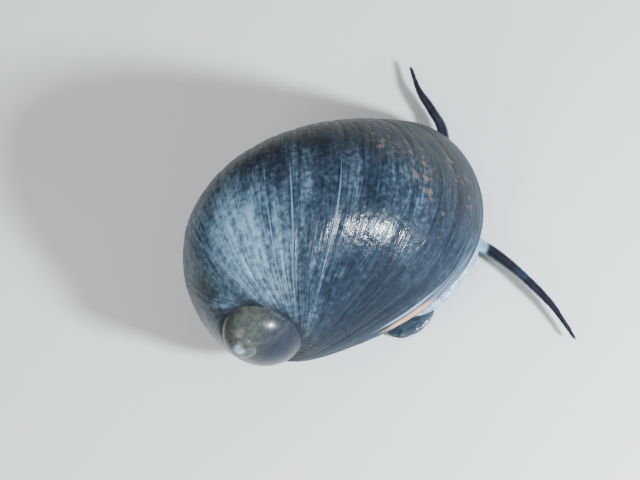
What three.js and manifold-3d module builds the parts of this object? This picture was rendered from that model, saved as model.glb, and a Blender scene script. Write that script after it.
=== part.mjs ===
// A crawling nerite snail at life size: shell, operculum, foot, mantle edge, head, tentacles, eyes
import * as THREE from 'three';
import { mergeVertices } from 'three/addons/utils/BufferGeometryUtils.js';
import Module from 'manifold-3d';

const wasm = await Module();
wasm.setup();

// Driving dimensions in millimetres and degrees. The snail crawls towards +X, its left is +Y,
// and places are measured from the point on the ground below the apex of the shell.
const clearance = 0.3;
const lipHeight = 2.5;

// The tube of the shell, cut by a half plane through the coiling axis where it passes the crest
const whorl = {
  growth: 3.85,
  radius: 10.47,
  middle: 11.5,
  half: 10.35,
  bulge: [0.131, -0.312, 0.239, 0.033],
  axisHeading: -136.1,
  axisRise: 23,
  apexAboveLip: 6.71,
  lipPhase: -205,
  spirePhase: 163,
  apexPhase: 600,
  nucleus: 3.3,
  nucleusDepth: 1.7,
  core: [11, 15.5, 0.3],
  coreRoom: [4, 12.2, 1.2],
};

const lip = {
  wall: 1,
  archRise: 0.3,
  archAt: [7.6, -2.6],
  archReach: 4.2,
  recess: 3.6,
};

const deck = {
  edgeFrom: [4.2, -3.4],
  edgeTo: [13.6, 15.6],
  middle: [9.5, 5.9],
  length: 19,
  width: 13.8,
  drop: 0.2,
  thickness: 0.9,
  shelf: 0.6,
  teeth: 7,
  teethFrom: 0.3,
  teethTo: 0.72,
  toothRadius: 0.5,
};

const foot = {
  middle: [10.6, 5.6],
  length: 18.4,
  width: 13.2,
  egg: 0.2,
  rim: 1.15,
  lobe: { middle: [12.9, -1.1, 0.5], size: [4.6, 3.4, 1] },
};

const neck = {
  middle: [13.4, 5.4],
  length: 10,
  width: 10.4,
  top: 5.6,
};

const operculum = {
  front: 8.2,
  middle: 5.6,
  length: 6.4,
  width: 8.6,
  bottom: 1.45,
  thickness: 0.6,
};

const head = { middle: [17.8, 5.2, 2.65], size: [6.4, 7, 2.4] };

const snout = {
  middle: [21, 5.3, 1.3],
  size: [3.4, 5.6, 1.8],
  mouthWidth: 2.6,
  mouthHeight: 0.35,
  mouthDepth: 0.7,
  mouthAt: 0.95,
};

const mantle = { thickness: 0.9, drop: 0.7, height: 2.4, fromDeck: 2.2 };

const tentacle = {
  baseRadius: 0.52,
  tipRadius: 0.2,
  lengths: 3,
  steps: 8,
  right: [
    [18.9, 3.6, 2.2], [20.8, 0, 1.5], [21.7, -2.8, 1.45],
    [22.3, -5.9, 1.4], [22.6, -8.8, 1.3], [22.5, -12, 1.1],
  ],
  left: [
    [18.9, 7, 2.2], [22.4, 9, 1.5], [23.9, 11, 1.45],
    [24.2, 13.7, 1.4], [24.3, 15.6, 1.3], [24.9, 18.1, 1.1],
  ],
};

const eye = {
  radius: 0.36,
  gap: 0.15,
  stalkRadius: 0.5,
  stalkTip: [17.5, 0.9, 2.2],
  stalkRoot: [17.6, 2.6, 2.3],
};

const degrees = Math.PI / 180;
const everywhere = 80;
const up = new THREE.Vector3(0, 0, 1);
const apex = new THREE.Vector3(0, 0, lipHeight + whorl.apexAboveLip);
const axis = new THREE.Vector3(1, 0, 0)
  .applyAxisAngle(new THREE.Vector3(0, 1, 0), -whorl.axisRise * degrees)
  .applyAxisAngle(up, whorl.axisHeading * degrees);
const crest = up.clone().addScaledVector(axis, -up.dot(axis)).normalize();

// A geometry as a solid, with its shared corners merged
function toSolid(geometry) {
  const bare = geometry.clone();
  bare.deleteAttribute('normal');
  bare.deleteAttribute('uv');
  const merged = mergeVertices(bare, 1e-5);
  return new wasm.Manifold(new wasm.Mesh({
    numProp: 3,
    vertProperties: merged.getAttribute('position').array,
    triVerts: new Uint32Array(merged.index.array),
  }));
}

// The largest closed surface of a solid, as a geometry with flat faces
function toGeometry(solid) {
  const largest = solid.decompose()
    .reduce((best, piece) => (piece.volume() > best.volume() ? piece : best));
  const { vertProperties, triVerts } = largest.getMesh();
  const indexed = new THREE.BufferGeometry();
  indexed.setAttribute('position', new THREE.BufferAttribute(vertProperties, 3));
  indexed.setIndex(new THREE.BufferAttribute(triVerts, 1));
  const faceted = indexed.toNonIndexed();
  faceted.computeVertexNormals();
  return faceted;
}

const join = (solids) => solids.reduce((whole, solid) => whole.add(solid));

// A closed solid swept through rings of as many points each, with a flat cap at either end
function sweep(rings) {
  const count = rings[0].length;
  const lastRing = (rings.length - 1) * count;
  const capMiddle = rings.length * count;
  const middles = [rings[0], rings[rings.length - 1]].map((ring) => (
    ring.reduce((sum, point) => sum.add(point), new THREE.Vector3()).divideScalar(count)));
  const faces = [];
  for (let i = 0; i < rings.length - 1; i += 1) {
    for (let j = 0; j < count; j += 1) {
      const here = i * count + j;
      const next = i * count + ((j + 1) % count);
      faces.push(here, next, here + count, next, next + count, here + count);
    }
  }
  for (let j = 0; j < count; j += 1) {
    const next = (j + 1) % count;
    faces.push(capMiddle, next, j, capMiddle + 1, lastRing + j, lastRing + next);
  }
  const geometry = new THREE.BufferGeometry().setFromPoints([...rings.flat(), ...middles]);
  geometry.setIndex(faces);
  return toSolid(geometry);
}

// Half oval of the tube at one phase of growth; the phase is 0 at the crest and grows with age
function whorlSection(phase, grow, pointCount) {
  const size = whorl.growth ** (-phase / 360);
  const outwards = crest.clone().applyAxisAngle(axis, phase * degrees);
  const radius = whorl.radius * size + grow;
  const half = whorl.half * size + grow;
  return Array.from({ length: pointCount }, (_, i) => {
    const turn = Math.PI * (i / (pointCount - 1) - 0.5);
    const along = Math.sin(turn);
    const swell = whorl.bulge.reduce((sum, share, n) => sum + share * along ** (n + 1), 1);
    const onAxis = i === 0 || i === pointCount - 1;
    return apex.clone()
      .addScaledVector(outwards, onAxis ? 0 : radius * Math.cos(turn) * swell)
      .addScaledVector(axis, -(whorl.middle * size + half * along));
  });
}

// The coiling tube between two phases, filled up to the axis, in lengths that overlap
function whorls(from, to, grow, step, pointCount) {
  const longest = 120;
  const overlap = 6;
  const lengths = Math.ceil((to - from) / longest);
  return join(Array.from({ length: lengths }, (_, i) => {
    const start = from + ((to - from) * i) / lengths;
    const end = Math.min(to, from + ((to - from) * (i + 1)) / lengths + overlap);
    const steps = Math.ceil((end - start) / step);
    return sweep(Array.from({ length: steps + 1 }, (__, j) => (
      whorlSection(start + ((end - start) * j) / steps, grow, pointCount))));
  }));
}

const lastWhorl = (grow) => whorls(whorl.lipPhase, whorl.spirePhase, grow, 10, 21);

// The older whorls, which end in a small worn dome at the apex
function olderWhorls(grow) {
  const middle = apex.clone().addScaledVector(axis, -whorl.nucleusDepth);
  const nucleus = ellipsoid(middle.toArray(), Array(3).fill(whorl.nucleus), grow, 16, 10);
  return whorls(whorl.spirePhase, whorl.apexPhase, grow, 15, 17).add(nucleus);
}

// Everything below the lip moved down by a distance; the lip arches up at the right rear
function belowLip(drop) {
  const cells = 44;
  const slab = new THREE.BoxGeometry(everywhere, everywhere, everywhere, cells, cells, 1);
  slab.translate(...deck.middle, 0);
  const place = slab.getAttribute('position');
  for (let i = 0; i < place.count; i += 1) {
    const away = Math.hypot(place.getX(i) - lip.archAt[0], place.getY(i) - lip.archAt[1]);
    const rise = lip.archRise * Math.exp(-((away / lip.archReach) ** 2));
    if (place.getZ(i) > 0) place.setZ(i, lipHeight - drop + rise);
  }
  return toSolid(slab);
}

// Everything behind the deck's edge moved ahead by a distance, and below a height
function behindDeckEdge(ahead, top) {
  const from = new THREE.Vector2(...deck.edgeFrom);
  const along = new THREE.Vector2(...deck.edgeTo).sub(from).normalize();
  const forward = new THREE.Vector2(along.y, -along.x);
  const corner = (sideways, onwards) => from.clone()
    .addScaledVector(along, sideways)
    .addScaledVector(forward, onwards);
  const outline = new THREE.Shape([
    corner(everywhere, ahead),
    corner(everywhere, -everywhere),
    corner(-everywhere, -everywhere),
    corner(-everywhere, ahead),
  ]);
  const depth = everywhere + top;
  const block = new THREE.ExtrudeGeometry(outline, { depth, bevelEnabled: false });
  return toSolid(block.translate(0, 0, -everywhere));
}

// Oval rings one above another; each level is a height and a share of the outline
function ovalStack([x, y], length, width, levels, count, egg = 0) {
  return sweep(levels.map(([height, share]) => Array.from({ length: count }, (_, i) => {
    const turn = (2 * Math.PI * i) / count;
    return new THREE.Vector3(
      x + (length / 2) * share * Math.cos(turn),
      y + (width / 2) * share * Math.sin(turn) * (1 + egg * Math.cos(turn)),
      height,
    );
  })));
}

function ellipsoid(middle, size, grow, columns, rows) {
  const ball = new THREE.SphereGeometry(1, columns, rows);
  ball.rotateX(Math.PI / 2);
  ball.scale(...size.map((across) => across / 2 + grow));
  return toSolid(ball.translate(...middle));
}

// A round tapering rod along a curve, between two shares of its length
function taperedRod(curve, from, to, baseRadius, tipRadius, grow, steps) {
  const sides = 10;
  return sweep(Array.from({ length: steps + 1 }, (_, i) => {
    const share = from + ((to - from) * i) / steps;
    const middle = curve.getPointAt(share);
    const ahead = curve.getTangentAt(share);
    const across = new THREE.Vector3().crossVectors(up, ahead).normalize();
    const above = new THREE.Vector3().crossVectors(ahead, across);
    const radius = baseRadius + (tipRadius - baseRadius) * share + grow;
    return Array.from({ length: sides }, (__, j) => {
      const turn = (2 * Math.PI * j) / sides;
      return middle.clone()
        .addScaledVector(across, radius * Math.cos(turn))
        .addScaledVector(above, radius * Math.sin(turn));
    });
  }));
}

// A rod on the coiling axis, between two distances from the apex
function axisRod([from, to, radius]) {
  const ends = [from, to].map((distance) => apex.clone().addScaledVector(axis, -distance));
  return taperedRod(new THREE.LineCurve3(...ends), 0, 1, radius, radius, 0, 1);
}

// Room for the older whorls inside the last one, also along the flat start of their tube
function spireRoom() {
  const startTurn = 30;
  const room = olderWhorls(clearance).add(axisRod(whorl.coreRoom));
  const shift = axis.clone()
    .cross(crest.clone().applyAxisAngle(axis, whorl.spirePhase * degrees))
    .multiplyScalar(-clearance);
  const start = whorls(whorl.spirePhase, whorl.spirePhase + startTurn, clearance, 15, 17);
  return room.add(start.translate(...shift));
}

const deckTop = lipHeight - deck.drop + deck.thickness;
const shellBottom = belowLip(0).add(behindDeckEdge(clearance, deckTop + clearance));

function bodyWhorl() {
  const lap = 3;
  const recess = lastWhorl(-lip.wall)
    .intersect(belowLip(-lip.recess))
    .subtract(behindDeckEdge(-deck.shelf, everywhere));
  return whorls(whorl.lipPhase, whorl.spirePhase + lap, 0, 7.5, 27)
    .add(axisRod(whorl.core))
    .subtract(spireRoom())
    .subtract(shellBottom)
    .subtract(recess);
}

const spire = () => olderWhorls(0).subtract(shellBottom);

// Deck of the inner lip: a plate with a rounded rim and small teeth on its straight edge
function callus() {
  const bottom = lipHeight - deck.drop;
  const rim = [[0, 0.955], [0.25, 0.985], [0.5, 1], [0.8, 0.99], [1, 0.965]];
  const levels = rim.map(([share, size]) => [bottom + share * deck.thickness, size]);
  const plate = ovalStack(deck.middle, deck.length, deck.width, levels, 48)
    .intersect(behindDeckEdge(0, everywhere));
  const from = new THREE.Vector2(...deck.edgeFrom);
  const to = new THREE.Vector2(...deck.edgeTo);
  const teeth = Array.from({ length: deck.teeth }, (_, i) => {
    const share = deck.teethFrom + ((deck.teethTo - deck.teethFrom) * i) / (deck.teeth - 1);
    const spot = from.clone().lerp(to, share);
    const across = 2 * deck.toothRadius;
    const middle = [spot.x, spot.y, bottom + deck.thickness / 2];
    return ellipsoid(middle, [across, across, deck.thickness * 0.8], 0, 10, 6);
  });
  return join([plate, ...teeth]);
}

// D-shaped lid on the top of the tail, its straight side to the front
function lid() {
  const rim = [[0, 0.94], [0.3, 1], [0.7, 0.94], [1, 0.72]];
  const levels = rim.map(([share, size]) => (
    [operculum.bottom + share * operculum.thickness, size]));
  const { front, middle, length, width } = operculum;
  const oval = ovalStack([front, middle], length * 2, width, levels, 40);
  const block = new THREE.BoxGeometry(everywhere, everywhere, everywhere);
  return oval.subtract(toSolid(block.translate(front + everywhere / 2, middle, 0)));
}

function sole(grow) {
  const rim = [[0, 0.955], [0.2, 0.985], [0.5, 1], [0.8, 0.975], [1, 0.9]];
  const levels = rim.map(([share, size]) => [share * (foot.rim + grow), size]);
  const { middle, length, width, egg, lobe } = foot;
  return ovalStack(middle, length + 2 * grow, width + 2 * grow, levels, 48, egg)
    .add(ellipsoid(lobe.middle, lobe.size, grow, 24, 12));
}

// The foot's flat sole, with a lobe at its right margin, and the neck that rises into the shell
function footAndNeck() {
  const levels = [[foot.rim / 2, 1], [lipHeight, 0.92], [neck.top, 0.86]];
  const insideMantle = lip.wall + mantle.thickness + 2 * clearance;
  const rise = ovalStack(neck.middle, neck.length, neck.width, levels, 32)
    .intersect(lastWhorl(-insideMantle))
    .subtract(behindDeckEdge(deck.toothRadius + clearance, everywhere));
  return sole(0).add(rise)
    .subtract(headSolid(clearance))
    .subtract(eyeStalk('right', clearance))
    .subtract(eyeStalk('left', clearance));
}

const headSolid = (grow) => ellipsoid(head.middle, head.size, grow, 28, 18);
const snoutSolid = (grow) => ellipsoid(snout.middle, snout.size, grow, 24, 16);

// Broad muzzle with a crosswise mouth low at its front
function snoutWithMouth() {
  const { mouthDepth, mouthWidth, mouthHeight } = snout;
  const front = [snout.middle[0] + snout.size[0] / 2, snout.middle[1], snout.mouthAt];
  const mouth = ellipsoid(front, [2 * mouthDepth, mouthWidth, mouthHeight], 0, 16, 8);
  return snoutSolid(0)
    .subtract(headSolid(clearance))
    .subtract(sole(clearance))
    .subtract(mouth);
}

const curveThrough = (points) => new THREE.CatmullRomCurve3(
  points.map((point) => new THREE.Vector3(...point)));
const tentacleCurves = {
  right: curveThrough(tentacle.right),
  left: curveThrough(tentacle.left),
};

function tentacleSolid(side, from, to, grow) {
  const { baseRadius, tipRadius, steps } = tentacle;
  return taperedRod(tentacleCurves[side], from, to, baseRadius, tipRadius, grow, steps);
}

// One of the lengths of a tentacle, its ends face to face with its neighbours'
function tentacleLength(side, number) {
  const gap = clearance / tentacleCurves[side].getLength();
  const from = (number - 1) / tentacle.lengths;
  const to = number / tentacle.lengths - (number < tentacle.lengths ? gap : 0);
  return tentacleSolid(side, from, to, 0)
    .subtract(headSolid(clearance))
    .subtract(snoutSolid(clearance));
}

// Points of the left side mirror those of the right across the middle of the head
const toSide = (side, [x, y, z]) => [x, side === 'right' ? y : 2 * head.middle[1] - y, z];

function eyeStalk(side, grow) {
  const [root, tip] = [eye.stalkRoot, eye.stalkTip]
    .map((point) => new THREE.Vector3(...toSide(side, point)));
  const line = new THREE.LineCurve3(root, tip);
  return taperedRod(line, 0, 1, eye.stalkRadius, eye.stalkRadius, grow, 2);
}

const eyeball = (side, grow) => (
  ellipsoid(toSide(side, eye.stalkTip), Array(3).fill(2 * eye.radius), grow, 16, 10));

function stalkWithSocket(side) {
  return eyeStalk(side, 0)
    .subtract(headSolid(clearance))
    .subtract(tentacleSolid(side, 0, 1, clearance))
    .subtract(eyeball(side, eye.gap));
}

// Thin collar along the inside of the lip, open at the deck and round the head
function mantleEdge() {
  const collar = lastWhorl(-lip.wall - clearance)
    .subtract(lastWhorl(-lip.wall - clearance - mantle.thickness))
    .intersect(belowLip(-mantle.height))
    .subtract(belowLip(mantle.drop))
    .subtract(behindDeckEdge(mantle.fromDeck, everywhere));
  const room = ['right', 'left'].flatMap((side) => [
    tentacleSolid(side, 0, 1, clearance),
    eyeStalk(side, clearance),
    eyeball(side, clearance),
  ]);
  return collar.subtract(join([...room, headSolid(clearance), snoutSolid(clearance)]));
}

const finish = (color, roughness) => new THREE.MeshStandardMaterial({
  color,
  roughness,
  metalness: 0,
});
const darkShell = finish(0x37424f, 0.4);
const wornShell = finish(0x5d6058, 0.35);
const creamCallus = finish(0xd9d7c6, 0.3);
const greyLid = finish(0x7b7f82, 0.55);
const paleFlesh = finish(0x9fb3c0, 0.35);
const darkFlesh = finish(0x232a3c, 0.3);
const blackEye = finish(0x08090b, 0.1);

const snail = new THREE.Group();

function part(name, solid, material) {
  const mesh = new THREE.Mesh(toGeometry(solid), material);
  mesh.name = name;
  snail.add(mesh);
}

part('shell_body_whorl', bodyWhorl(), darkShell);
part('shell_spire', spire(), wornShell);
part('shell_callus', callus(), creamCallus);
part('operculum', lid(), greyLid);
part('foot', footAndNeck(), paleFlesh);
part('mantle_edge', mantleEdge(), paleFlesh);
part('head', headSolid(0), darkFlesh);
part('snout', snoutWithMouth(), darkFlesh);
for (const side of ['right', 'left']) {
  for (let number = 1; number <= tentacle.lengths; number += 1) {
    part(`tentacle_${side}_${number}`, tentacleLength(side, number), darkFlesh);
  }
  part(`eye_stalk_${side}`, stalkWithSocket(side), darkFlesh);
  part(`eye_${side}`, eyeball(side, 0), blackEye);
}

// The origin is the middle of the underside of the box round the whole snail
const box = new THREE.Box3().setFromObject(snail);
const middle = box.getCenter(new THREE.Vector3());
snail.position.set(-middle.x, -middle.y, -box.min.z);

export default snail;
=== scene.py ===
import math

import bmesh
import bpy
from mathutils import Matrix, Quaternion, Vector, noise
from mathutils.kdtree import KDTree


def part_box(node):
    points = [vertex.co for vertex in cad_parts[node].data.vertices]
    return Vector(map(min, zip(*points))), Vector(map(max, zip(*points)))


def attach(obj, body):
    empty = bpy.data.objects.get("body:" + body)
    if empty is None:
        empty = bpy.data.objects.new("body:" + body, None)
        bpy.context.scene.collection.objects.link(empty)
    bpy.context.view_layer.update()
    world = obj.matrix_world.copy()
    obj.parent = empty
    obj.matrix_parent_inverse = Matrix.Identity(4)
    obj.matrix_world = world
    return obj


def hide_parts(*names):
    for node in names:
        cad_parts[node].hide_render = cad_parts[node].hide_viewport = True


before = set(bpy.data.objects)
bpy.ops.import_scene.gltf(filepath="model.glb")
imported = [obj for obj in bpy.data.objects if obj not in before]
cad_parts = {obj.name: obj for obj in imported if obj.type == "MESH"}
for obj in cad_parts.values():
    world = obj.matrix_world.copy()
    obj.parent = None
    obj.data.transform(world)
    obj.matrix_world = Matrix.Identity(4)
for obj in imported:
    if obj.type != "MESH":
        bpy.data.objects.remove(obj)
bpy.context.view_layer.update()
print("frame loaded")

# Pieces are modelled in millimetres from the point on the ground below the shell's apex,
# and finishPiece puts them in the frame's metres
mm = 0.001
headMiddle = Vector((17.8, 5.2, 2.65))
headLow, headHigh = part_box("head")
shift = (headLow + headHigh) / 2 - headMiddle * mm
shift.z = 0
toFrame = Matrix.Translation(shift) @ Matrix.Scale(mm, 4)


def finishPiece(name, bm, material, nodes):
    bmesh.ops.transform(bm, matrix=toFrame, verts=bm.verts)
    for face in bm.faces:
        face.smooth = True
    mesh = bpy.data.meshes.new(name)
    bm.to_mesh(mesh)
    bm.free()
    mesh.materials.append(material)
    piece = bpy.data.objects.new(name, mesh)
    bpy.context.collection.objects.link(piece)
    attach(piece, "root")
    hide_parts(*nodes)
    print(name, len(piece.data.polygons), "faces")
    return piece


def mix(low, high, share):
    return low + (high - low) * share


def ease(low, high, value):
    share = min(1, max(0, (value - low) / (high - low)))
    return share * share * (3 - 2 * share)


def along(stops, value):
    for (fromValue, fromLevel), (toValue, toLevel) in zip(stops, stops[1:]):
        if value <= toValue:
            share = ease(fromValue, toValue, value)
            return mix(fromLevel, toLevel, share)
    return stops[-1][1]


# The spiral of the shell: a half oval that turns about the axis and shrinks towards the apex
whorl = {
    "growth": 3.85,
    "radius": 10.47,
    "middle": 11.5,
    "half": 10.35,
    "bulge": (0.131, -0.312, 0.239, 0.033),
    "axisHeading": -136.1,
    "axisRise": 23,
    "apexHeight": 9.21,
    "suture": -61.2,
}
heading = math.radians(whorl["axisHeading"])
rise = math.radians(whorl["axisRise"])
axis = Vector((math.cos(heading) * math.cos(rise), math.sin(heading) * math.cos(rise), math.sin(rise)))
crest = (Vector((0, 0, 1)) - axis * axis.z).normalized()
side = axis.cross(crest)
apex = Vector((0, 0, whorl["apexHeight"]))


def whorlPoint(phase, angle, grow=0):
    size = whorl["growth"] ** (-phase / 360)
    turn = math.radians(phase)
    outwards = crest * math.cos(turn) + side * math.sin(turn)
    high = math.sin(math.radians(angle))
    swell = 1 + sum(share * high ** (n + 1) for n, share in enumerate(whorl["bulge"]))
    radius = (whorl["radius"] * size + grow) * math.cos(math.radians(angle)) * swell
    depth = whorl["middle"] * size + (whorl["half"] * size + grow) * high
    return apex + outwards * radius - axis * depth


lip = {"height": 2.5, "archRise": 0.3, "archAt": (7.6, -2.6), "archReach": 4.2, "youngest": -200}


def overLip(point):
    away = math.hypot(point.x - lip["archAt"][0], point.y - lip["archAt"][1])
    arch = lip["archRise"] * math.exp(-((away / lip["archReach"]) ** 2))
    return point.z - lip["height"] - arch


def findLipPhase(angle):
    phases = range(100, lip["youngest"], -2)
    heights = [overLip(whorlPoint(phase, angle)) for phase in phases]
    above = phases[heights.index(max(heights))]
    below = above
    while overLip(whorlPoint(below, angle)) > 0 and below > lip["youngest"]:
        above = below
        below -= 1
    for _ in range(12):
        middle = (above + below) / 2
        if overLip(whorlPoint(middle, angle)) > 0:
            above = middle
        else:
            below = middle
    return above


lipAngles = [whorl["suture"] + step for step in range(0, 152)]
lipPhases = [findLipPhase(angle) for angle in lipAngles]


def lipPhase(angle):
    place = min(max(angle - lipAngles[0], 0), len(lipAngles) - 1.001)
    step = int(place)
    return mix(lipPhases[step], lipPhases[step + 1], place - step)


print("lip found from", round(lipPhases[0], 1), "to", round(lipPhases[-1], 1))

# Shell surface: rows are growth lines, the lip's curve carried back round the axis
shell = {
    "rows": 440,
    "columns": 92,
    "oldest": 620,
    "startAngle": -63.5,
    "endAngles": (
        (0, 84), (145, 84), (182, 58), (200, 25), (220, 6), (240, -6), (262, -11), (300, -6), (620, -6)),
    "length": 62,
    "wall": 1.1,
    "rim": 0.45,
    "oldWall": 0.12,
    "swell": 0.62,
    "covered": -12,
    "tip": {"radius": 1.5, "depth": 1.85},
    "grooveDepth": 0.22,
    "grooveWidth": 2.4,
    "lineDepth": 0.035,
    "stops": (14, 32, 58, 77, 86, 98, 115),
    "stopDepth": 0.06,
    "stopWidth": 1.1,
    "bead": {"turn": 1.8, "width": 1, "height": 0.13, "from": -40, "to": -21},
}


def turnBack(share):
    span = 1 - whorl["growth"] ** (-shell["oldest"] / 360)
    return -360 * math.log(1 - share * span) / math.log(whorl["growth"])


# The older whorls stand out between their seams
def spireSwell(phase, angle):
    size = whorl["growth"] ** (-phase / 360)
    share = min(1, max(0, (angle - whorl["suture"]) / (shell["covered"] - whorl["suture"])))
    high = shell["swell"] * size * ease(110, 200, phase) * math.sin(math.pi * share)
    turn = math.radians(phase)
    outwards = crest * math.cos(turn) + side * math.sin(turn)
    return (outwards + axis).normalized() * high


# Growth lines, the stops between growing seasons, the seam's groove and the lip's orange bead
def shellRelief(turn, angle, length):
    fine = noise.noise(Vector((length * 3.2, angle * 0.02, 0.5)))
    coarse = noise.noise(Vector((length * 1.1, angle * 0.015, 7.5)))
    broad = noise.noise(Vector((length * 0.42, angle * 0.01, 3.5)))
    relief = shell["lineDepth"] * (fine * 0.45 + coarse * 0.5 + broad * 1.3)
    for stop in shell["stops"]:
        relief -= shell["stopDepth"] * math.exp(-(((turn - stop) / shell["stopWidth"]) ** 2))
    relief *= ease(0, 4, turn) * mix(0.3, 1, ease(-60, -38, angle)) * (1 - 0.7 * ease(200, 300, turn))
    bead = shell["bead"]
    inBead = ease(bead["from"], bead["from"] + 5, angle) * ease(bead["to"], bead["to"] - 5, angle)
    relief += inBead * bead["height"] * math.exp(-(((turn - bead["turn"]) / bead["width"]) ** 2))
    groove = shell["grooveDepth"] * math.exp(-(((angle - whorl["suture"]) / shell["grooveWidth"]) ** 2))
    return relief - groove * (1 - 0.7 * ease(150, 330, turn))


def wallThickness(turn, angle):
    wall = shell["wall"] * mix(shell["rim"], 1, ease(0, 12, turn))
    wall = mix(wall, shell["oldWall"], ease(170, 230, turn))
    wall = mix(shell["oldWall"], wall, ease(-61, -50, angle))
    return wall * whorl["growth"] ** (-turn / 360)


def makeShell(material):
    bm = bmesh.new()
    bmesh.ops.create_grid(
        bm, x_segments=shell["rows"], y_segments=shell["columns"], size=1, calc_uvs=True)
    turnLayer, angleLayer, lengthLayer, insideLayer = (
        bm.verts.layers.float.new(name) for name in ("turn", "angle", "length", "inside"))
    for vert in bm.verts:
        share = (vert.co.x + 1) / 2
        turn = turnBack(share)
        angle = mix(shell["startAngle"], along(shell["endAngles"], turn), (vert.co.y + 1) / 2)
        vert[turnLayer] = turn
        vert[angleLayer] = angle
        vert[lengthLayer] = share * shell["length"]
        vert.co = whorlPoint(lipPhase(angle) + turn, angle) + spireSwell(lipPhase(angle) + turn, angle)
    bm.normal_update()
    top = max(bm.faces, key=lambda face: face.calc_center_median().z)
    if top.normal.z < 0:
        bmesh.ops.reverse_faces(bm, faces=bm.faces)
        bm.normal_update()
    for vert in bm.verts:
        vert.co += vert.normal * shellRelief(vert[turnLayer], vert[angleLayer], vert[lengthLayer])
    bm.normal_update()

    inner = bmesh.ops.extrude_face_region(bm, geom=bm.faces[:], use_keep_orig=True)["geom"]
    for vert in [item for item in inner if isinstance(item, bmesh.types.BMVert)]:
        vert.co -= vert.normal * wallThickness(vert[turnLayer], vert[angleLayer])
        vert[insideLayer] = 1
    before = set(bm.verts)  # a ball closes the tip from within
    addBall(bm, apex - axis * shell["tip"]["depth"], (shell["tip"]["radius"] * 2,) * 3, 48, 32)
    for vert in set(bm.verts) - before:
        vert[turnLayer] = shell["oldest"]
        vert[angleLayer] = shell["covered"]
        vert[lengthLayer] = shell["length"]
    bmesh.ops.recalc_face_normals(bm, faces=bm.faces)
    return finishPiece("shell", bm, material, ["shell_body_whorl", "shell_spire"])


# Shapes made of rings one after another
def ringLoft(bm, rings):
    loops = []
    for ring in rings:
        made = bmesh.ops.create_circle(bm, segments=ring["points"], radius=1)["verts"]
        for index, vert in enumerate(made):
            vert.co = ring["place"](index / ring["points"])
        loops.append(sorted({edge for vert in made for edge in vert.link_edges}, key=lambda edge: edge.index))
    for first, second in zip(loops, loops[1:]):
        bmesh.ops.bridge_loops(bm, edges=first + second)
    for loop in (loops[0], loops[-1]):
        bmesh.ops.contextual_create(bm, geom=loop)


# Cuts off what lies beyond a plane and closes the cut
def cutBeyond(bm, point, ahead):
    cut = bmesh.ops.bisect_plane(
        bm, geom=bm.verts[:] + bm.edges[:] + bm.faces[:], plane_co=point, plane_no=ahead, clear_outer=True)
    rim = [item for item in cut["geom_cut"] if isinstance(item, bmesh.types.BMEdge)]
    bmesh.ops.contextual_create(bm, geom=rim)


def oval(middle, length, width, height, egg=0, points=96):
    def place(share):
        turn = 2 * math.pi * share
        return Vector((
            middle[0] + length / 2 * math.cos(turn),
            middle[1] + width / 2 * math.sin(turn) * (1 + egg * math.cos(turn)),
            height))
    return {"points": points, "place": place}


def addBall(bm, middle, size, columns=40, rows=24):
    scale = Matrix.Diagonal((size[0] / 2, size[1] / 2, size[2] / 2, 1))
    bmesh.ops.create_uvsphere(
        bm, u_segments=columns, v_segments=rows, radius=1,
        matrix=Matrix.Translation(middle) @ scale)


def curvePoint(points, share):
    place = min(share, 0.9999) * (len(points) - 1)
    step = int(place)
    t = place - step
    before, here, after, beyond = (
        Vector(points[min(max(step + offset, 0), len(points) - 1)]) for offset in (-1, 0, 1, 2))
    return 0.5 * (
        2 * here + (after - before) * t
        + (2 * before - 5 * here + 4 * after - beyond) * t * t
        + (3 * here - before - 3 * after + beyond) * t * t * t)


def addRod(bm, points, radii, steps=40, sides=20):
    rings = []
    for step in range(steps + 1):
        share = step / steps
        middle = curvePoint(points, share)
        ahead = (curvePoint(points, share + 0.01) - curvePoint(points, share - 0.01)).normalized()
        across = Vector((0, 0, 1)).cross(ahead).normalized()
        above = ahead.cross(across)
        radius = along(radii, share)

        def place(part, middle=middle, across=across, above=above, radius=radius):
            turn = 2 * math.pi * part
            return middle + across * radius * math.cos(turn) + above * radius * math.sin(turn)
        rings.append({"points": sides, "place": place})
    ringLoft(bm, rings)
    addBall(bm, curvePoint(points, 1), (radii[-1][1] * 2,) * 3, 16, 10)


# Inner lip: a smooth pad under the older half of the shell, toothed on its straight edge
callus = {
    "middle": (9.5, 5.9),
    "length": 19,
    "width": 13.8,
    "levels": ((2.3, 0.94), (2.36, 0.97), (2.6, 0.995), (2.9, 1), (3.2, 0.985), (3.5, 0.93)),
    "edgeFrom": (4.2, -3.4),
    "edgeTo": (13.6, 15.6),
    "teeth": 7,
    "teethFrom": 0.3,
    "teethTo": 0.72,
    "toothSize": (0.9, 0.9, 0.7),
    "toothHeight": 2.75,
}


def makeCallus(material):
    bm = bmesh.new()
    middle = callus["middle"]
    rings = [
        oval(middle, callus["length"] * share, callus["width"] * share, height)
        for height, share in callus["levels"]]
    ringLoft(bm, rings)
    edgeFrom = Vector((*callus["edgeFrom"], 0))
    edgeTo = Vector((*callus["edgeTo"], 0))
    cutBeyond(bm, edgeFrom, (edgeTo - edgeFrom).cross(Vector((0, 0, 1))).normalized())
    for tooth in range(callus["teeth"]):
        share = mix(callus["teethFrom"], callus["teethTo"], tooth / (callus["teeth"] - 1))
        spot = edgeFrom.lerp(edgeTo, share)
        addBall(bm, (spot.x, spot.y, callus["toothHeight"]), callus["toothSize"], 20, 12)
    bmesh.ops.recalc_face_normals(bm, faces=bm.faces)
    return finishPiece("callus", bm, material, ["shell_callus"])


# Lid on the tail, straight in front
operculum = {
    "front": 8.2,
    "middle": 5.6,
    "length": 6.4,
    "width": 8.6,
    "bottom": 1.45,
    "thickness": 0.6,
    "levels": ((0, 0.94), (0.15, 0.98), (0.4, 1), (0.7, 0.96), (0.9, 0.86), (1, 0.7)),
}


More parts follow.
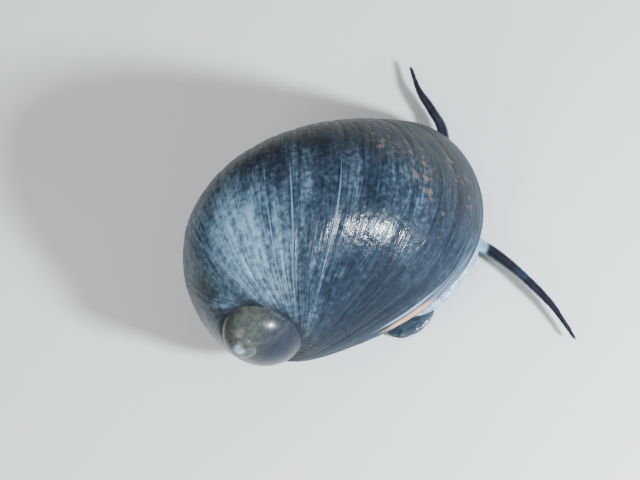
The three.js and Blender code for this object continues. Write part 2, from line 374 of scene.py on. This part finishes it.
def makeOperculum(material):
    bm = bmesh.new()
    middle = (operculum["front"], operculum["middle"])
    rings = [
        oval(middle, operculum["length"] * 2 * size, operculum["width"] * size,
             operculum["bottom"] + operculum["thickness"] * share)
        for share, size in operculum["levels"]]
    ringLoft(bm, rings)
    cutBeyond(bm, (operculum["front"], 0, 0), (1, 0, 0))
    rimLayer = bm.verts.layers.float.new("rim")
    for vert in bm.verts:
        vert[rimLayer] = math.hypot(
            (vert.co.x - operculum["front"]) / operculum["length"],
            (vert.co.y - operculum["middle"]) / (operculum["width"] / 2))
    bmesh.ops.recalc_face_normals(bm, faces=bm.faces)
    return finishPiece("lid", bm, material, ["operculum"])


# Flesh: solids that overlap, fused into one skin
flesh = {
    "voxel": 0.13,
    "smoothing": 8,
    "footMiddle": (10.6, 5.6),
    "footLength": 18.4,
    "footWidth": 13.2,
    "footEgg": 0.2,
    "lobe": ((12.9, -1.1, 0.5), (4.6, 3.4, 1)),
    "footLevels": ((0, 0.955), (0.2, 0.985), (0.55, 1), (0.9, 0.97), (1.15, 0.88), (1.3, 0.7)),
    "neckMiddle": (13.4, 5.4),
    "neckLevels": ((0.6, 10.4, 11.2), (2.5, 9.2, 9.6), (5.6, 8.6, 9)),
    "head": ((17.8, 5.2, 2.65), (6.4, 7, 2.4)),
    "snout": ((21, 5.3, 1.3), (3.4, 5.6, 1.8)),
    "mouth": {"at": (22.6, 5.3, 0.95), "width": 2.8, "opening": 0.16, "depth": 0.34, "lips": 0.1},
    "wrinkles": 0.025,
    "folds": 0.07,
    "sole": 0.04,
    "mantleInset": ((-50, 1.15), (-38, 1.1), (-22, 0.75), (-6, 0.7), (10, 1.1), (78, 1.15)),
    "mantleRadii": ((0, 0.5), (1, 0.5)),
    "mantleFrom": -50,
    "mantleTo": 78,
    "mantleTurn": ((-50, 3), (-38, 3), (-22, 0.6), (-6, 0.2), (10, 2.6), (78, 3)),
    "skirtFrom": -31,
    "skirtTo": 5,
    "skirtInset": ((-31, 0.8), (-25, 0.2), (-19, 0.05), (-12, 0.3), (-4, 0.3), (1, 0.35), (5, 0.8)),
    "skirtRadii": ((0, 0.2), (0.25, 0.42), (0.7, 0.42), (1, 0.12)),
    "skirtTurn": ((-31, -1.6), (5, -1.6)),
    "mantleReach": (1.1, 0.6),
    "darkFrom": ((14.6, 16.2), (0.9, 1.3)),
    "tentaclesFrom": ((-2.6, -3.2), (13.6, 14.2)),
    "snoutFrom": (20.2, 20.8),
}
tentacle = {
    "right": (
        (18.9, 3.6, 2.2), (20.8, 0, 1.5), (21.7, -2.8, 1.45),
        (22.3, -5.9, 1.4), (22.6, -8.8, 1.3), (22.5, -12, 1.1)),
    "left": (
        (18.9, 7, 2.2), (22.4, 9, 1.5), (23.9, 11, 1.45),
        (24.2, 13.7, 1.4), (24.3, 15.6, 1.3), (24.9, 18.1, 1.1)),
    "radii": ((0, 0.62), (0.25, 0.52), (0.6, 0.4), (1, 0.2)),
}
eye = {
    "radius": 0.36,
    "dome": 0.06,
    "tip": (17.5, 0.9, 2.2),
    "root": (17.6, 2.6, 2.3),
    "stalkRadii": ((0, 0.5), (1, 0.5)),
}


def mirrored(point):
    return (point[0], 2 * headMiddle.y - point[1], point[2])


# Folds at the foot's margin, wrinkles over the muzzle and the mouth across its front
def fleshRelief(place, dark):
    skin = (0.03 * noise.noise(place * 2.4) + 0.014 * noise.noise(place * 6)) * (1 - 0.8 * dark)
    folds = noise.noise(Vector((place.x * 1.5, place.y * 1.5, 0.3 * place.z)))
    skin += flesh["folds"] * (1 - dark) * ease(1.3, 0.8, place.z) * folds
    muzzle = ease(19, 20.5, place.x) * ease(4.2, 3.2, abs(place.y - headMiddle.y))
    skin += muzzle * flesh["wrinkles"] * math.sin(place.x * 9 + noise.noise(place * 1.5) * 2)
    mouth = flesh["mouth"]
    across = ease(mouth["width"] / 2, mouth["width"] / 3, abs(place.y - mouth["at"][1]))
    height = (place.z - mouth["at"][2]) / mouth["opening"]
    front = ease(mouth["at"][0] - 0.9, mouth["at"][0] - 0.4, place.x) * across
    skin -= front * mouth["depth"] * math.exp(-height * height)
    return skin + front * mouth["lips"] * math.exp(-((abs(height) - 1.8) ** 2))


# Points beside the shell's lip, from one angle to another
def lipCurve(name, turns, count):
    angles = [mix(flesh[name + "From"], flesh[name + "To"], step / count) for step in range(count + 1)]
    return [
        whorlPoint(lipPhase(angle) + along(turns, angle), angle, -along(flesh[name + "Inset"], angle))
        for angle in angles]


def addBody(bm):
    ringLoft(bm, [
        oval(
            flesh["footMiddle"], flesh["footLength"] * size, flesh["footWidth"] * size, height,
            flesh["footEgg"])
        for height, size in flesh["footLevels"]])
    ringLoft(bm, [
        oval(flesh["neckMiddle"], length, width, height)
        for height, length, width in flesh["neckLevels"]])
    for name in ("head", "snout", "lobe"):
        addBall(bm, *flesh[name])
    for points in (tentacle["right"], tentacle["left"]):
        addRod(bm, points, tentacle["radii"])
    for flip in (tuple, mirrored):
        addRod(bm, (flip(eye["root"]), flip(eye["tip"])), eye["stalkRadii"], steps=6)


# One skin round all solids of a mesh, smoothed
def fuse(bm):
    rough = bpy.data.meshes.new("roughFlesh")
    bm.to_mesh(rough)
    bm.free()
    roughFlesh = bpy.data.objects.new("roughFlesh", rough)
    bpy.context.collection.objects.link(roughFlesh)
    remesh = roughFlesh.modifiers.new("fuse", "REMESH")
    remesh.mode = "VOXEL"
    remesh.voxel_size = flesh["voxel"]
    fused = bpy.data.meshes.new_from_object(
        roughFlesh.evaluated_get(bpy.context.evaluated_depsgraph_get()))
    bpy.data.objects.remove(roughFlesh)
    skin = bmesh.new()
    skin.from_mesh(fused)
    for _ in range(flesh["smoothing"]):
        bmesh.ops.smooth_vert(
            skin, verts=skin.verts, factor=0.5, use_axis_x=True, use_axis_y=True, use_axis_z=True)
    skin.normal_update()
    return skin


def makeFlesh(material):
    bm = bmesh.new()
    addBody(bm)
    edge = lipCurve("mantle", flesh["mantleTurn"], 60)
    skirt = lipCurve("skirt", flesh["skirtTurn"], 30)
    addRod(bm, edge, flesh["mantleRadii"], steps=120)
    addRod(bm, skirt, flesh["skirtRadii"], steps=60)
    bmesh.ops.recalc_face_normals(bm, faces=bm.faces)
    bm = fuse(bm)
    darkLayer = bm.verts.layers.float.new("dark")
    mantleLayer = bm.verts.layers.float.new("mantle")
    rim = KDTree(len(edge) + len(skirt))
    for index, point in enumerate(edge + skirt):
        rim.insert(point, index)
    rim.balance()
    (aheadFrom, aboveFrom), (rightFrom, leftFrom) = flesh["darkFrom"], flesh["tentaclesFrom"]
    for vert in bm.verts:
        place = vert.co.copy()
        vert[mantleLayer] = ease(*flesh["mantleReach"], rim.find(place)[2])
        ahead = ease(*aheadFrom, place.x) * ease(*aboveFrom, place.z)
        outside = max(
            ease(*rightFrom, place.y), ease(*flesh["snoutFrom"], place.x), ease(*leftFrom, place.y))
        vert[darkLayer] = max(ahead, outside) * (1 - vert[mantleLayer])
        vert.co += vert.normal * fleshRelief(place, vert[darkLayer])
        if vert.co.z < flesh["sole"]:
            vert.co.z = 0
    nodes = ["foot", "mantle_edge", "head", "snout", "eye_stalk_right", "eye_stalk_left"]
    nodes += [f"tentacle_{sideName}_{number}" for sideName in ("right", "left") for number in (1, 2, 3)]
    return finishPiece("flesh", bm, material, nodes)


def makeEye(name, node, flip, material):
    bm = bmesh.new()
    middle = Vector(flip(eye["tip"]))
    outwards = (middle - headMiddle).normalized()
    addBall(bm, middle, (eye["radius"] * 2,) * 3, 40, 24)
    for vert in bm.verts:
        facing = (vert.co - middle).normalized().dot(outwards)
        vert.co += outwards * eye["dome"] * ease(0.55, 1, facing)
    return finishPiece(name, bm, material, [node])


# Finishes
def feed(tree, socket, value):
    if isinstance(value, bpy.types.NodeSocket):
        tree.links.new(value, socket)
    elif isinstance(value, tuple) and socket.type == "RGBA":
        socket.default_value = (*value, 1)
    else:
        socket.default_value = value


def addNode(tree, kind, inputs, **settings):
    node = tree.nodes.new(kind)
    for name, value in settings.items():
        setattr(node, name, value)
    for name, value in inputs.items():
        feed(tree, node.inputs[name], value)
    return node


def maths(tree, operation, first, second=0.0, clamp=False):
    node = addNode(tree, "ShaderNodeMath", {0: first, 1: second}, operation=operation, use_clamp=clamp)
    return node.outputs[0]


def times(tree, first, second):
    return maths(tree, "MULTIPLY", first, second)


def plusShare(tree, value, other, share, clamp=False):
    return maths(tree, "ADD", value, times(tree, other, share), clamp)


# Adds its share of each named mask, one after another
def addMasks(tree, value, masks, shares, clamp=False):
    for name, share in shares.items():
        value = plusShare(tree, value, masks[name], share, clamp)
    return value


def spread(tree, value, low, high, toLow=0.0, toHigh=1.0):
    node = addNode(
        tree, "ShaderNodeMapRange",
        {"Value": value, "From Min": low, "From Max": high, "To Min": toLow, "To Max": toHigh},
        interpolation_type="SMOOTHSTEP")
    return node.outputs["Result"]


def blendColor(tree, share, first, second):
    node = addNode(tree, "ShaderNodeMix", {0: share, 6: first, 7: second}, data_type="RGBA")
    return node.outputs[2]


def ramp(tree, value, stops):
    node = addNode(tree, "ShaderNodeValToRGB", {0: value})
    elements = node.color_ramp.elements
    while len(elements) < len(stops):
        elements.new(0.5)
    for element, (place, color) in zip(elements, stops):
        element.position = place
        element.color = (*color, 1)
    return node.outputs[0]


def distanceFrom(tree, spot):
    return addNode(
        tree, "ShaderNodeVectorMath", {0: objectPlace(tree), 1: tuple(toFrame @ Vector(spot))},
        operation="DISTANCE").outputs["Value"]


def attribute(tree, name):
    return addNode(tree, "ShaderNodeAttribute", {}, attribute_name=name).outputs["Fac"]


def objectPlace(tree):
    return tree.nodes.new("ShaderNodeTexCoord").outputs["Object"]


def noiseOver(tree, place, scale, detail=3.0):
    return addNode(
        tree, "ShaderNodeTexNoise", {"Vector": place, "Scale": scale, "Detail": detail}).outputs[0]


# Noise fixed to the model, its scale in cells to the metre
def grainOver(tree, scale, detail=3.0):
    return noiseOver(tree, objectPlace(tree), scale, detail)


def newGroup(name, inputs, output):
    group = bpy.data.node_groups.new(name, "ShaderNodeTree")
    for label, value in inputs.items():
        socket = group.interface.new_socket(name=label, in_out="INPUT", socket_type="NodeSocketFloat")
        socket.default_value = value
    group.interface.new_socket(name=output, in_out="OUTPUT", socket_type="NodeSocketFloat")
    return group, group.nodes.new("NodeGroupInput").outputs, group.nodes.new("NodeGroupOutput").inputs[0]


def useGroup(tree, group, **inputs):
    node = tree.nodes.new("ShaderNodeGroup")
    node.node_tree = group
    for name, value in inputs.items():
        feed(tree, node.inputs[name], value)
    return node.outputs[0]


# Streaks along the growth lines, so many to the millimetre
growthStreaks, given, result = newGroup(
    "growthStreaks", {"density": 1.0, "seed": 0.0, "drift": 0.03}, "streak")
streakPlace = addNode(growthStreaks, "ShaderNodeCombineXYZ", {
    0: times(growthStreaks, attribute(growthStreaks, "length"), given["density"]),
    1: times(growthStreaks, attribute(growthStreaks, "angle"), given["drift"]),
    2: given["seed"]}).outputs[0]
feed(growthStreaks, result, noiseOver(growthStreaks, streakPlace, 1.0, 2.0))

# Soft oval patch about a growth line and an angle, with a ragged outline
shellPatch, given, result = newGroup(
    "shellPatch", {"turn": 0.0, "angle": 0.0, "halfTurn": 10.0, "halfAngle": 10.0, "ragged": 0.5}, "patch")


# How many half widths away, squared
def patchReach(name, half):
    away = maths(shellPatch, "SUBTRACT", attribute(shellPatch, name), given[name])
    return maths(shellPatch, "POWER", maths(shellPatch, "DIVIDE", away, given[half]), 2.0)


patchAway = maths(shellPatch, "SQRT", maths(
    shellPatch, "ADD", patchReach("turn", "halfTurn"), patchReach("angle", "halfAngle")))
patchNoise = maths(shellPatch, "SUBTRACT", grainOver(shellPatch, 900.0, 4.0), 0.5)
patchAway = maths(
    shellPatch, "ADD", patchAway, times(shellPatch, patchNoise, times(shellPatch, given["ragged"], 4.0)))
feed(shellPatch, result, spread(shellPatch, patchAway, 1.25, 0.55))


def newMaterial(name):
    material = bpy.data.materials.new(name)
    material.use_nodes = True
    return material, material.node_tree, material.node_tree.nodes["Principled BSDF"]


def addBump(tree, shader, height, strength, distance):
    node = addNode(
        tree, "ShaderNodeBump", {"Height": height, "Strength": strength, "Distance": distance})
    feed(tree, shader.inputs["Normal"], node.outputs[0])


shellColors = {
    "streaks": (
        (0.2, (0.004, 0.007, 0.012)), (0.38, (0.009, 0.016, 0.027)), (0.52, (0.017, 0.027, 0.041)),
        (0.66, (0.028, 0.044, 0.063)), (0.88, (0.08, 0.12, 0.158))),
    "worn": (0.17, 0.285, 0.38),
    "algae": (0.045, 0.07, 0.065),
    "algaeDark": (0.012, 0.02, 0.022),
    "crown": (0.015, 0.0165, 0.017),
    "line": (0.16, 0.25, 0.36),
    # painted shade, laid low on the shell by the lip
    "shade": (0.004, 0.008, 0.016),
    # navy, laid at the right front of the shell as painted shade
    "navy": (0.006, 0.012, 0.026),
    "rust": (0.12, 0.08, 0.06),
    "lipPale": (0.105, 0.155, 0.205),
    "lipDark": (0.02, 0.025, 0.032),
    "orange": (0.5, 0.25, 0.16),
    # painted highlight: a pale line along the lip above the orange bead
    "paintedHighlight": (0.3, 0.42, 0.5),
    "domeLeft": (0.046, 0.051, 0.044),
    "domeRight": (0.005, 0.008, 0.018),
    "tip": (0.25, 0.31, 0.35),
    "seam": (0.006, 0.008, 0.012),
    "inner": (0.55, 0.5, 0.33),
}

shellLook = {
    "streaks": {  # density, seed and drift
        "broad": (0.5, 1.0, 0.03), "medium": (2.2, 5.0, 0.06), "hair": (8.0, 9.0, 0.09)},
    "grains": {  # scale and detail
        "mottle": (2600.0, 5.0), "pits": (3600.0, 3.0), "speckle": (1500.0, 5.0),
        "domeMottle": (2200.0, 5.0), "granules": (1900.0, 3.0)},
    "patches": {  # turn, angle, half turn, half angle and raggedness
        "wornWide": (124, -31, 42, 31, 0.2),
        "wornCore": (114, -32, 18, 17, 0.35),
        "besideDome": (172, -54, 16, 7, 0.2),
        "navy": (60, -14, 14, 15, 0.4),
        # low and front: where painted shade darkens the shell by the lip and at the right front
        "low": (14, -44, 40, 24, 0.3),
        "front": (12, -4, 12, 26, 0.2),
        "algae": (163, -38, 24, 24, 0.6),
        "palerSide": (1, -17, 3.2, 15, 0.15),
        # where the painted highlight line lies above the orange bead
        "highlightAboveOrange": (4.4, -30, 0.7, 9, 0.1),
        "orange": (1.6, -30, 1.5, 8, 0.1),
        "wet": (38, -17, 48, 24, 0.15),
    },
    "rustSpots": (
        (44, 15, 6, 7), (31, 12, 6, 9), (27, 1, 4, 7), (14, 22, 3, 12), (18, -5, 2.4, 6),
        (9, 12, 2.4, 10)),
    "paleLines": (
        (80, -30, 0.5, 30), (60, -22, 0.35, 22), (92, -36, 0.4, 22), (101, -36, 0.4, 26),
        (109, -32, 0.5, 24), (117, -34, 0.4, 22), (128, -30, 0.5, 20)),
    "wornShares": {"wornWide": 0.45, "wornCore": 0.42, "besideDome": 0.5},
    "toneShares": {"broad": 0.26, "medium": 0.24, "hair": 0.17, "mottle": 0.33},
    # low and front darken the tone as painted shade
    "toneShifts": {"worn": 0.12, "crown": -0.06, "navy": -0.1, "low": -0.22, "front": -0.12},
    "ridgeShares": {"hair": 0.45, "medium": 0.6, "granules": 0.6},
    "crownAngle": (-12.0, 28.0),
    "lipTurn": (11.0, 2.0),
    "domeTurn": (265.0, 300.0),
    "domeSideTurn": (360.0, 450.0),
    "coatTurn": (285.0, 310.0),
    "ridgesEndTurn": (250.0, 300.0),
    "seamAngle": (-55.0, -59.5),
    "seamTurn": (300.0, 260.0),
    "tipAt": (0.15, 0.1, 0),
    "tipDepth": 0.55,
    "tipReach": (0.00105, 0.0006),
    "wetRoughness": 0.09,
    "coat": 0.2,
    "coatRoughness": 0.11,
    "coatIndex": 1.4,
    "specular": 0.2,
    "bump": 0.8,
    "bumpDepth": 0.00009,
}


def patch(tree, turn, angle, halfTurn, halfAngle, ragged):
    return useGroup(
        tree, shellPatch, turn=float(turn), angle=float(angle), halfTurn=float(halfTurn),
        halfAngle=float(halfAngle), ragged=ragged)


# Lays one of the shell's colours over another, as far as a share of its mask
def layOver(tree, color, mask, share, name):
    return blendColor(tree, times(tree, mask, share), color, shellColors[name])


def shellMasks(tree, angle):
    masks = {name: patch(tree, *values) for name, values in shellLook["patches"].items()}
    for name, (density, seed, drift) in shellLook["streaks"].items():
        masks[name] = useGroup(tree, growthStreaks, density=density, seed=seed, drift=drift)
    for name, (scale, detail) in shellLook["grains"].items():
        masks[name] = grainOver(tree, scale, detail)
    masks["crown"] = spread(tree, angle, *shellLook["crownAngle"])
    masks["worn"] = addMasks(tree, 0.0, masks, shellLook["wornShares"], clamp=True)
    return masks


# Dark and pale streaks with painted shade low by the lip and at the right front, the greyer crown, the pale
# lines and the worn patch over them
def addStreakColors(tree, tone, wornShare, masks):
    color = ramp(tree, tone, shellColors["streaks"])
    # Painted shade: darker low on the shell by the lip and at the right front
    color = layOver(tree, color, masks["low"], 0.6, "shade")
    color = layOver(tree, color, masks["front"], 0.4, "navy")
    for line in shellLook["paleLines"]:
        color = layOver(tree, color, patch(tree, *line, 0.25), 0.4, "line")
    color = layOver(tree, color, masks["crown"], 0.75, "crown")
    return blendColor(tree, wornShare, color, shellColors["worn"])


def addAlgaeAndRust(tree, color, masks):
    pits = spread(tree, masks["pits"], 0.42, 0.6)
    algaeColor = blendColor(tree, pits, shellColors["algaeDark"], shellColors["algae"])
    color = blendColor(tree, times(tree, masks["algae"], 0.4), color, algaeColor)
    speckle = spread(tree, masks["speckle"], 0.5, 0.64, 0.0, 0.6)
    for spot in shellLook["rustSpots"]:
        color = layOver(tree, color, patch(tree, *spot, 0.5), speckle, "rust")
    return color


def addLipColors(tree, color, turn, masks):
    stripes = spread(tree, masks["hair"], 0.44, 0.58)
    stripeColor = blendColor(tree, stripes, shellColors["lipDark"], shellColors["lipPale"])
    nearLip = spread(tree, turn, *shellLook["lipTurn"])
    color = blendColor(tree, times(tree, nearLip, 0.2), color, stripeColor)
    palerStripes = spread(tree, masks["hair"], 0.38, 0.62, 0.2, 0.75)
    color = layOver(tree, color, masks["palerSide"], palerStripes, "lipPale")
    # Painted highlight: a pale line along the lip above the orange bead
    color = layOver(tree, color, masks["highlightAboveOrange"], 0.6, "paintedHighlight")
    return blendColor(tree, masks["orange"], color, shellColors["orange"])


# The dome, the seam before it and the pale worn tip on top
def addDomeColors(tree, color, turn, angle, masks):
    domeSide = spread(tree, turn, *shellLook["domeSideTurn"])
    domeColor = blendColor(tree, domeSide, shellColors["domeRight"], shellColors["domeLeft"])
    brightness = spread(tree, masks["domeMottle"], 0.35, 0.65, 0.75, 1.25)
    domeColor = addNode(
        tree, "ShaderNodeVectorMath", {0: domeColor, "Scale": brightness}, operation="SCALE").outputs[0]
    color = blendColor(tree, spread(tree, turn, *shellLook["domeTurn"]), color, domeColor)
    seam = times(
        tree, spread(tree, angle, *shellLook["seamAngle"]), spread(tree, turn, *shellLook["seamTurn"]))
    color = layOver(tree, color, seam, 0.85, "seam")
    tip = apex - axis * shellLook["tipDepth"] + Vector(shellLook["tipAt"])
    tipAway = plusShare(tree, distanceFrom(tree, tip), masks["mottle"], 0.0006)
    return blendColor(tree, spread(tree, tipAway, *shellLook["tipReach"]), color, shellColors["tip"])


# Rougher where worn and on the crown, smooth where a broken film of water lies
def shellRoughness(tree, wornShare, masks):
    rough = plusShare(tree, spread(tree, masks["hair"], 0.3, 0.7, 0.22, 0.36), wornShare, 0.14)
    rough = plusShare(tree, rough, masks["crown"], 0.2)
    broken = times(
        tree, spread(tree, masks["medium"], 0.42, 0.56, 0.03, 1.0),
        spread(tree, masks["mottle"], 0.4, 0.56, 0.3, 1.0))
    film = times(tree, masks["wet"], broken)
    return plusShare(tree, rough, maths(tree, "SUBTRACT", shellLook["wetRoughness"], rough), film)


def shellMaterial():
    material, tree, shader = newMaterial("shellFinish")
    turn, angle = attribute(tree, "turn"), attribute(tree, "angle")
    masks = shellMasks(tree, angle)
    tone = spread(tree, addMasks(tree, 0.0, masks, shellLook["toneShares"]), 0.25, 0.73)
    tone = addMasks(tree, tone, masks, shellLook["toneShifts"])
    wornShare = times(tree, masks["worn"], spread(tree, tone, 0.3, 0.85, 0.2, 0.9))

    color = addStreakColors(tree, tone, wornShare, masks)
    color = addAlgaeAndRust(tree, color, masks)
    color = addLipColors(tree, color, turn, masks)
    color = addDomeColors(tree, color, turn, angle, masks)
    within = spread(tree, attribute(tree, "inside"), 0.35, 0.65)
    feed(tree, shader.inputs["Base Color"], blendColor(tree, within, color, shellColors["inner"]))

    feed(tree, shader.inputs["Roughness"], shellRoughness(tree, wornShare, masks))
    coat = spread(tree, turn, *shellLook["coatTurn"], 0.0, shellLook["coat"])
    feed(tree, shader.inputs["Coat Weight"], coat)
    shader.inputs["Coat Roughness"].default_value = shellLook["coatRoughness"]
    shader.inputs["Coat IOR"].default_value = shellLook["coatIndex"]
    shader.inputs["Specular IOR Level"].default_value = shellLook["specular"]
    ridges = addMasks(tree, 0.0, masks, shellLook["ridgeShares"])
    ridges = times(tree, ridges, spread(tree, turn, *shellLook["ridgesEndTurn"], 1.0, 0.15))
    addBump(tree, shader, ridges, shellLook["bump"], shellLook["bumpDepth"])
    return material


callusLook = {
    "cream": (0.66, 0.63, 0.5),
    "ivory": (0.74, 0.73, 0.66),
    "blotch": (0.3, 0.33, 0.27),
    "blotchAt": (7.2, 5.5, 2.3),
    "blotchReach": (0.0068, 0.0036),
    "yellow": (0.6, 0.5, 0.28),
    "yellowReach": (0.0078, 0.0105),
    "bump": 0.5,
    "bumpDepth": 0.00012,
}


def callusMaterial():
    material, tree, shader = newMaterial("callusFinish")
    cloud = grainOver(tree, 420.0, 4.0)
    grain = grainOver(tree, 3200.0)
    color = blendColor(tree, spread(tree, cloud, 0.35, 0.65), callusLook["cream"], callusLook["ivory"])
    away = plusShare(tree, distanceFrom(tree, callusLook["blotchAt"]), cloud, 0.004)
    blotch = spread(tree, away, *callusLook["blotchReach"], 0.0, 0.6)
    color = blendColor(tree, blotch, color, callusLook["blotch"])
    toothLine = spread(tree, away, *callusLook["yellowReach"], 0.0, 0.35)
    color = blendColor(tree, toothLine, color, callusLook["yellow"])
    feed(tree, shader.inputs["Base Color"], color)
    feed(tree, shader.inputs["Roughness"], spread(tree, grain, 0.3, 0.7, 0.14, 0.28))
    addBump(tree, shader, plusShare(tree, cloud, grain, 0.2), callusLook["bump"], callusLook["bumpDepth"])
    return material


operculumLook = {
    "grey": (0.13, 0.145, 0.155),
    "granule": (0.42, 0.43, 0.41),
    "granuleScale": 3600.0,
    "margin": (0.16, 0.05, 0.03),
    "marginReach": (0.82, 0.97),
    "nucleus": (8.2, 3.1, 2),
    "arcScale": 9000.0,
    "arcBend": 5.0,
    "bump": 0.8,
    "bumpDepth": 0.00012,
}


# Granules in arcs about the nucleus, inside a reddish margin
def operculumMaterial():
    material, tree, shader = newMaterial("operculumFinish")
    bend = grainOver(tree, 500.0, 2.0)
    away = times(tree, distanceFrom(tree, operculumLook["nucleus"]), operculumLook["arcScale"])
    arcs = maths(tree, "SINE", plusShare(tree, away, bend, operculumLook["arcBend"]))
    granules = addNode(
        tree, "ShaderNodeTexVoronoi",
        {"Vector": objectPlace(tree), "Scale": operculumLook["granuleScale"]},
        feature="F1").outputs["Distance"]
    raised = spread(tree, granules, 0.6, 0.15)
    grains = times(tree, raised, spread(tree, arcs, -0.4, 0.8, 0.25, 1.0))
    color = blendColor(tree, grains, operculumLook["grey"], operculumLook["granule"])
    margin = spread(tree, attribute(tree, "rim"), *operculumLook["marginReach"])
    color = blendColor(tree, margin, color, operculumLook["margin"])
    feed(tree, shader.inputs["Base Color"], color)
    feed(tree, shader.inputs["Roughness"], spread(tree, bend, 0.3, 0.7, 0.35, 0.5))
    height = plusShare(tree, grains, arcs, 0.25)
    addBump(tree, shader, height, operculumLook["bump"], operculumLook["bumpDepth"])
    return material


fleshLook = {
    "dark": (0.003, 0.004, 0.009),
    "darkSheen": (0.012, 0.019, 0.036),
    "foot": (0.034, 0.05, 0.068),
    "footSpeck": (0.02, 0.03, 0.043),
    "mantle": (0.24, 0.36, 0.45),
    "mantleSpeck": (0.1, 0.15, 0.2),
    "bump": 0.7,
    "bumpDepth": 0.0001,
    "glow": 0.12,  # light that spreads below the skin, and how far
    "glowReach": 0.0005,
}


def fleshMaterial():
    material, tree, shader = newMaterial("fleshFinish")
    cloud = grainOver(tree, 700.0, 4.0)
    grain = grainOver(tree, 3400.0, 4.0)
    specks = spread(tree, grainOver(tree, 1700.0, 5.0), 0.47, 0.6)
    dark = blendColor(tree, spread(tree, cloud, 0.42, 0.7), fleshLook["dark"], fleshLook["darkSheen"])
    pale = blendColor(tree, specks, fleshLook["foot"], fleshLook["footSpeck"])
    collar = blendColor(tree, times(tree, specks, 0.6), fleshLook["mantle"], fleshLook["mantleSpeck"])
    darkPart = attribute(tree, "dark")
    unevenEdge = spread(tree, cloud, 0.3, 0.7, -0.15, 0.15)
    color = blendColor(tree, maths(tree, "ADD", darkPart, unevenEdge, clamp=True), pale, dark)
    color = blendColor(tree, attribute(tree, "mantle"), color, collar)
    feed(tree, shader.inputs["Base Color"], color)
    feed(tree, shader.inputs["Roughness"], spread(tree, grain, 0.3, 0.7, 0.14, 0.32))
    skin = times(tree, plusShare(tree, grain, cloud, 0.8), spread(tree, darkPart, 0.0, 1.0, 1.0, 0.3))
    addBump(tree, shader, skin, fleshLook["bump"], fleshLook["bumpDepth"])
    shader.inputs["Subsurface Weight"].default_value = fleshLook["glow"]
    shader.inputs["Subsurface Scale"].default_value = fleshLook["glowReach"]
    return material


eyeLook = {"colors": ((0.4, (0.002, 0.002, 0.003)), (0.7, (0.012, 0.012, 0.016))), "roughness": (0.04, 0.1)}


def eyeMaterial():
    material, tree, shader = newMaterial("eyeFinish")
    cloud = grainOver(tree, 2500.0)
    feed(tree, shader.inputs["Base Color"], ramp(tree, cloud, eyeLook["colors"]))
    feed(tree, shader.inputs["Roughness"], spread(tree, cloud, 0.3, 0.7, *eyeLook["roughness"]))
    return material


def floorMaterial():
    material, tree, shader = newMaterial("floorFinish")
    cloud = grainOver(tree, 40.0)
    low, high = (tuple(part * level for part in stage["floorColor"]) for level in (0.985, 1))
    feed(tree, shader.inputs["Base Color"], blendColor(tree, cloud, low, high))
    shader.inputs["Roughness"].default_value = stage["floorRoughness"]
    return material


shellFinish = shellMaterial()
callusFinish = callusMaterial()
operculumFinish = operculumMaterial()
fleshFinish = fleshMaterial()
eyeFinish = eyeMaterial()

makeShell(shellFinish)
makeCallus(callusFinish)
makeOperculum(operculumFinish)
makeFlesh(fleshFinish)
makeEye("eyeRight", "eye_right", tuple, eyeFinish)
makeEye("eyeLeft", "eye_left", mirrored, eyeFinish)

# Floor, light and camera
stage = {
    "floorSize": 1.2,
    "floorColor": (0.8, 0.8, 0.78),
    "floorRoughness": 0.8,
    "aim": (11, 5, 4),
    "horizon": (0.14, 0.155, 0.17),
    "zenith": (0.84, 0.86, 0.89),
    "skyFrom": 0.15,
    "skyTo": 0.95,
}
bm = bmesh.new()
bmesh.ops.create_grid(bm, x_segments=1, y_segments=1, size=stage["floorSize"] / 2)
floorMesh = bpy.data.meshes.new("floor")
bm.to_mesh(floorMesh)
bm.free()
floorMesh.materials.append(floorMaterial())
floor = bpy.data.objects.new("floor", floorMesh)
bpy.context.collection.objects.link(floor)

view = {
    "azimuth": 0.48,
    "elevation": 57.15,
    "roll": -35.84,
    "width": 50.5,
    "lens": 250,
    "right": 6.59,
    "up": 9.03,
    "near": 0.01,
    "far": 10,
}
azimuth = math.radians(view["azimuth"])
elevation = math.radians(view["elevation"])
back = Vector((
    math.sin(azimuth) * math.cos(elevation),
    -math.cos(azimuth) * math.cos(elevation),
    math.sin(elevation)))
cameraTurn = (-back).to_track_quat("-Z", "Y") @ Quaternion((0, 0, 1), math.radians(view["roll"]))
camera = bpy.data.objects.new("camera", bpy.data.cameras.new("camera"))
camera.data.lens = view["lens"]
camera.data.clip_start = view["near"]
camera.data.clip_end = view["far"]
camera.rotation_mode = "QUATERNION"
camera.rotation_quaternion = cameraTurn
target = apex + cameraTurn @ Vector((view["right"], view["up"], 0))
distance = view["width"] * view["lens"] / camera.data.sensor_width
camera.location = toFrame @ (target + back * distance)
bpy.context.collection.objects.link(camera)
bpy.context.scene.camera = camera

lights = {
    "key": {"at": (69, -125, 76), "size": 17, "power": 0.95, "color": (0.8, 0.91, 1)},
    "side": {"at": (-120, -60, 110), "size": 70, "power": 0.12, "color": (0.9, 0.95, 1)},
}
for name, light in lights.items():
    lamp = bpy.data.lights.new(name, "AREA")
    lamp.size = light["size"] * mm
    lamp.energy = light["power"]
    lamp.color = light["color"]
    lampObject = bpy.data.objects.new(name, lamp)
    place = toFrame @ Vector(light["at"])
    lampObject.location = place
    aim = toFrame @ Vector(stage["aim"]) - place
    lampObject.rotation_mode = "QUATERNION"
    lampObject.rotation_quaternion = aim.to_track_quat("-Z", "Y")
    bpy.context.collection.objects.link(lampObject)

world = bpy.data.worlds.new("studio")
world.use_nodes = True
sky = world.node_tree
skyPlace = sky.nodes.new("ShaderNodeTexCoord").outputs["Generated"]
skyHeight = addNode(sky, "ShaderNodeSeparateXYZ", {0: skyPlace}).outputs[2]
skyColor = blendColor(
    sky, spread(sky, skyHeight, stage["skyFrom"], stage["skyTo"]), stage["horizon"], stage["zenith"])
feed(sky, sky.nodes["Background"].inputs["Color"], skyColor)
bpy.context.scene.world = world
print("stage and camera set")
